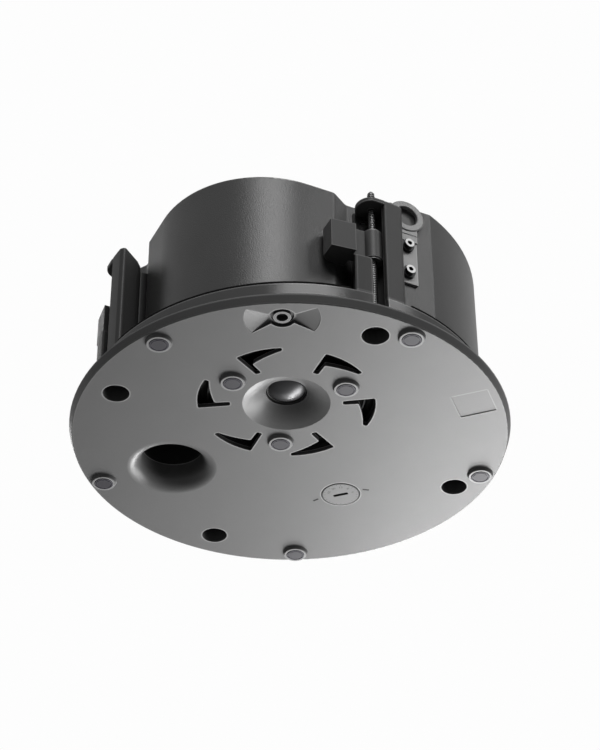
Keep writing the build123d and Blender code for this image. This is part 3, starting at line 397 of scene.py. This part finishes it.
def printed_bars(name, x, y, length, width, angle, z, ink, body):
    """Flat bars that face down. A bar's corners are its middle, plus or minus half its
    length along its angle and half its width across it."""
    along = np.stack([np.cos(angle), np.sin(angle)], 1) * length[:, None] / 2
    across = np.stack([-np.sin(angle), np.cos(angle)], 1) * width / 2
    middle = np.stack([x, y], 1)
    corners = np.stack(
        [
            middle - along - across,
            middle - along + across,
            middle + along + across,
            middle + along - across,
        ],
        1,
    ).reshape(-1, 2)
    points = np.column_stack([corners, np.full(len(corners), z)])
    faces = np.arange(len(points)).reshape(-1, 4).tolist()
    return mesh_piece(name, points, faces, ink, body, smooth=False)


tick_count, tick_end_r, tick_width = 24, 0.0128, 0.00028
long_tick, short_tick = 0.0018, 0.0011
tick = np.arange(tick_count)
angle = tick * pi / (tick_count / 2)
length = np.where(tick % 3 == 0, long_tick, short_tick)
tick_r = tick_end_r - length / 2
tick_x, tick_y = dial_x + tick_r * np.cos(angle), dial_y + tick_r * np.sin(angle)
ticks = printed_bars(
    "dial_ticks", tick_x, tick_y, length, tick_width, angle, dial_print_z, dial_ink, "dial"
)
dash_x, dash_y = np.array([0.0170, 0.0540]), np.array([0.0740, 0.0620])
dash_length, dash_width = np.array([0.0045, 0.0048]), 0.0015
dash_angle = np.array([-0.6, 0.18])
dashes = printed_bars(
    "baffle_marks", dash_x, dash_y, dash_length, dash_width, dash_angle,
    baffle_print_z, dash_ink, "housing",
)


def printed_number(text, degrees, high=0.0032, r=0.0092):
    """A number as flat faces that face down: the font's x runs round the dial and its y
    towards the dial's middle, so it reads right from below."""
    outline = bpy.data.curves.new("number_outline", "FONT")
    outline.body = text
    outline.size = high
    outline.align_x, outline.align_y = "CENTER", "CENTER"
    outline.resolution_u = 3
    shape = bpy.data.objects.new("number_shape", outline)
    flat_mesh = bpy.data.meshes.new_from_object(shape)
    co = np.empty(len(flat_mesh.vertices) * 3)
    flat_mesh.vertices.foreach_get("co", co)
    px, py = co.reshape(-1, 3)[:, :2].T
    a = radians(degrees)
    turn_x, turn_y = cos(a + pi / 2), sin(a + pi / 2)
    x = dial_x + r * cos(a) + px * turn_x + py * turn_y
    y = dial_y + r * sin(a) + px * turn_y - py * turn_x
    points = np.stack([x, y, np.full(len(x), dial_print_z)], 1)
    faces = [tuple(p.vertices) for p in flat_mesh.polygons]
    bpy.data.objects.remove(shape)
    bpy.data.meshes.remove(flat_mesh)
    bpy.data.curves.remove(outline)
    return mesh_piece(f"dial_number_{text}", points, faces, dial_ink, "dial", smooth=False)


for text, degrees in (("60", 200), ("30", 235), ("15", 270), ("8", 305), ("4", 340)):
    printed_number(text, degrees)


# The line transformer matches the loudspeaker to the amplifier's line: a stack of
# thin steel laminations round a winding that is wrapped in yellow tape.
laminations = finish("laminations", 88, 0.55, grain_mm=0.8, bump=0.2, metal=0.6)
dress(banded(laminations, 0.8, layered, 0.45), "transformer_core")
tape = finish("winding_tape", (0.58, 0.42, 0.05), 0.3, grain_mm=1.5, bump=0.15, mottle=0.3)
dress(tape, "transformer_winding")


# The crossover is a green glass-cloth board on four screws, with two air-cored
# copper coils and two film capacitors in moulded red cases.
board_green = finish("board_green", (0.03, 0.14, 0.05), 0.4, grain_mm=0.4, bump=0.05)
for way in (across_x, across_y):
    banded(board_green, 1.0, way, 0.85, depth=0.1)
dress(board_green, "crossover_board")
dress(copper, "crossover_coils")
film_case = finish("film_case", (0.42, 0.06, 0.03), 0.3, grain_mm=0.5, bump=0.05)
dress(film_case, "crossover_capacitors")
dress(zinc, "board_screws")


# The back can is drawn steel under thick black powder coat, whose orange peel
# breaks up the light. Four screws hold it on its gasket, and a pad of white
# polyester wool inside takes the echo away.
# The can's outer edges get a painted highlight and its recesses painted shade.
can_paint = finish(
    "can_paint", 70, 0.30, grain_mm=0.8, bump=0.45, mottle=0.3, edge_highlight=0.8, recess_shade=0.5, shine=0.4
)
dress(can_paint, "back_can")
dress(gasket_foam, "can_gasket")
dress(zinc, "can_screws")
wool = finish("polyester_wool", (0.62, 0.62, 0.60), 0.95, grain_mm=0.25, bump=1.0, mottle=0.3)
dress(wool, "damping_pad")


# The wiring compartment on the can's top is a folded steel box in the same coat,
# with a rubber grommet as its inlet and a screw terminal block inside.
dress(can_paint, "terminal_cover")
dress(roll_rubber, "inlet_grommet")
block_plastic = finish("block_plastic", (0.03, 0.10, 0.04), 0.4, grain_mm=0.5, bump=0.08)
dress(block_plastic, "terminal_block")
dress(zinc, "cover_screws", "terminal_screws")


# The four clamps: a black-oxide steel screw with a rolled thread of 1.6 mm pitch
# draws a threaded bush along, and with it the dog of glass-filled nylon that swings
# out over the ceiling board. The thread's crests are painted bright, as painted highlights.
# The dog's outer edges get a painted highlight and its recesses painted shade.
dog_plastic = finish(
    "dog_plastic", 74, 0.4, grain_mm=0.5, bump=0.15, edge_highlight=1.5, recess_shade=0.6, shine=0.2
)
bush_steel = finish("bush_steel", (0.12, 0.12, 0.12), 0.45, grain_mm=0.4, bump=0.08, metal=0.7)
oxide_colour = (0.02, 0.02, 0.021)
black_oxide = finish("black_oxide", oxide_colour, 0.4, grain_mm=0.4, bump=0.05, metal=0.5)
thread_crest_glint = finish("thread_crest_glint", oxide_colour, 0.25, grain_mm=0.4, bump=0.0, metal=0.8)
glint_sharpness = 14.0
tree = thread_crest_glint.node_tree
crest = shader_node(tree, "Attribute", attribute_name="crest").outputs["Fac"]
two_tone(thread_crest_glint, calc(tree, "POWER", crest, glint_sharpness), high=(0.3, 0.3, 0.3, 1))
clamp_r = 0.1334
pitch = 0.0016
root_r, crest_r = 0.00244, 0.00274
points_per_turn = 24


def thread_ridge(name, cx, cy, low, high, body):
    """A ridge round an axis: at turn t its four-point profile stands at angle 2 pi t and
    height low + t pitch, and its crest fades into the root over the first and last turn."""
    profile_turns, on_crest = np.array([-0.45, -0.08, 0.08, 0.45]), [0.0, 1.0, 1.0, 0.0]
    count = int((high - low) / pitch * points_per_turn)
    t = np.arange(count + 1) / points_per_turn
    fade = np.clip(np.minimum(t, t[-1] - t), 0, 1)
    crest = root_r + (crest_r - root_r) * fade
    root = np.full_like(t, root_r)
    r = np.stack([root, crest, crest, root], 1)
    z = low + (t[:, None] + profile_turns) * pitch
    a = 2 * pi * t[:, None]
    grid = np.stack([cx + r * np.cos(a), cy + r * np.sin(a), z], -1)
    piece = grid_piece(name, grid, thread_crest_glint, body)
    share = piece.data.attributes.new("crest", "FLOAT", "POINT")
    share.data.foreach_set("value", np.tile(on_crest, len(t)))
    return piece


for n, station in enumerate(stations, 1):
    dress(dog_plastic, f"clamp_dog_{n}")
    dress(bush_steel, f"clamp_bush_{n}")
    dress(black_oxide, f"clamp_screw_{n}")
    cx, cy = clamp_r * cos(radians(station)), clamp_r * sin(radians(station))
    for part_name, low, high in (("shaft", 0.0205, 0.1142), ("end", 0.1184, 0.1304)):
        ridge = thread_ridge(f"thread_{part_name}_{n}", cx, cy, low, high, f"screw_{n}")


# The grille is held by pot magnets pressed into moulded cups, five at the rim and
# three round the waveguide: a nickel-plated core in a steel cup, with a groove between.
magnet_plate = finish(
    "magnet_plate", (0.016, 0.015, 0.02), 0.5,
    grain_mm=0.3, bump=0.03, metal=0.1, edge_highlight=1.5, recess_shade=0.9, shine=0.25,
)
# The short reach darkens the groove between core and cup as painted shade, and the rims get a
# painted highlight.
magnet_plate.node_tree.nodes["Edges"].inputs["Hollow mm"].default_value = 0.8
dress(magnet_plate, "rim_magnets", "inner_magnets")


# The hanger strap is a folded steel strip with an eye for a safety line, in the can's
# black coat; its paler grey is painted light where it faces the lamps. Its outer edges get a
# painted highlight and its recesses painted shade. Its two black socket studs have bright turned
# ends.
strap_lit_paint = finish("strap_lit_paint", 132, 0.28, grain_mm=1.2, bump=0.2, edge_highlight=0.6, recess_shade=0.5)
dress(strap_lit_paint, "hanger_strap")
stud = finish("strap_stud", oxide_colour, 0.4, grain_mm=0.4, bump=0.05, metal=0.5)
outwards = (cos(radians(stations[0])), sin(radians(stations[0])), 0)
bright_from = 0.1351
tree = stud.node_tree
place = shader_node(tree, "TexCoord").outputs["Object"]
reach = shader_node(tree, "VectorMath", {0: place, 1: outwards}, operation="DOT_PRODUCT")
bright = calc(tree, "GREATER_THAN", reach.outputs["Value"], bright_from)
two_tone(stud, bright, high=(0.5, 0.5, 0.5, 1))
dress(stud, "strap_screws")


# The studio: a pale floor far below, a white backdrop that is seen and mirrored but
# gives little light, and soft lamps round the speaker as it hangs in the air.
half, floor_z = 3.0, -1.6
floor_outline = ((-half, -half), (half, -half), (half, half), (-half, half))
floor_mesh = bpy.data.meshes.new("studio_floor")
floor_mesh.from_pydata([(x, y, floor_z) for x, y in floor_outline], [], [(0, 1, 2, 3)])
floor = bpy.data.objects.new("studio_floor", floor_mesh)
bpy.context.scene.collection.objects.link(floor)
floor_paint = bpy.data.materials.new("studio_floor_paint")
floor_paint.use_nodes = True
shader = floor_paint.node_tree.nodes["Principled BSDF"].inputs
shader["Base Color"].default_value = (0.8, 0.8, 0.8, 1)
shader["Roughness"].default_value = 0.9
floor_mesh.materials.append(floor_paint)

world = bpy.data.worlds.new("studio_air")
bpy.context.scene.world = world
world.use_nodes = True
tree = world.node_tree
air = tree.nodes["Background"]
air.inputs["Color"].default_value = (1, 1, 1, 1)
air.inputs["Strength"].default_value = 0.04
backdrop = shader_node(tree, "Background", {"Color": (0.983, 0.983, 0.983, 1), "Strength": 1.0})
mirrored_share = 0.5
rays = shader_node(tree, "LightPath").outputs
mirrored = calc(tree, "MULTIPLY", rays["Is Glossy Ray"], mirrored_share)
seen = calc(tree, "MAXIMUM", rays["Is Camera Ray"], mirrored)
shown = calc(tree, "MAXIMUM", seen, rays["Is Transmission Ray"])
mix = shader_node(tree, "MixShader", {0: shown, 1: air.outputs[0], 2: backdrop.outputs[0]})
tree.links.new(mix.outputs[0], tree.nodes["World Output"].inputs["Surface"])


def soft_lamp(name, place, size, watts):
    """A square area lamp at place that faces the speaker's middle."""
    speaker_middle, overhead = (0.0, 0.0, 0.03), 0.95
    lamp = bpy.data.lights.new(name, "AREA")
    lamp.size = size
    lamp.energy = watts
    lamp_object = bpy.data.objects.new(name, lamp)
    bpy.context.scene.collection.objects.link(lamp_object)
    back = np.array(place, float) - np.array(speaker_middle)
    back /= np.linalg.norm(back)
    upwards = (0.0, 0.0, 1.0) if abs(back[2]) < overhead else (0.0, 1.0, 0.0)
    side = np.cross(upwards, back)
    side /= np.linalg.norm(side)
    turn = Matrix([list(side), list(np.cross(back, side)), list(back)]).transposed()
    lamp_object.matrix_world = Matrix.Translation(place) @ turn.to_4x4()


soft_lamp("lamp_key", (0.6, 0.6, -0.6), 0.5, 12.6)
soft_lamp("lamp_sheen", (0.4, 1.15, -0.85), 0.4, 11)
soft_lamp("lamp_rear", (0, 1.2, -0.9), 0.6, 2.6)
soft_lamp("lamp_low", (0.22, 1.25, -0.32), 0.3, 8)
soft_lamp("lamp_front", (0.25, -1.2, 0.97), 0.7, 12)
soft_lamp("lamp_side", (1.03, -0.62, 0.92), 0.4, 2.4)
soft_lamp("lamp_top", (0.2, 0.3, 1.5), 0.8, 5)
soft_lamp("lamp_back", (-0.4, 1.3, 0.9), 0.8, 8)


# The camera stands below and in front, as in the photograph.
camera_data = bpy.data.cameras.new("camera")
camera_data.lens = 104.676
camera_data.sensor_width = 36.0
camera = bpy.data.objects.new("camera", camera_data)
bpy.context.scene.collection.objects.link(camera)
camera_place = (0.033135, -1.260286, -0.91018)
right = (0.9996931, 0.0242674, -0.0049869)
up = (0.0187756, -0.6107926, 0.791568)
back = (0.0161633, -0.7914186, -0.6110608)
turn = Matrix([right, up, back]).transposed()
camera.matrix_world = Matrix.Translation(camera_place) @ turn.to_4x4()
bpy.context.scene.camera = camera

bpy.context.scene.view_settings.view_transform = "Standard"
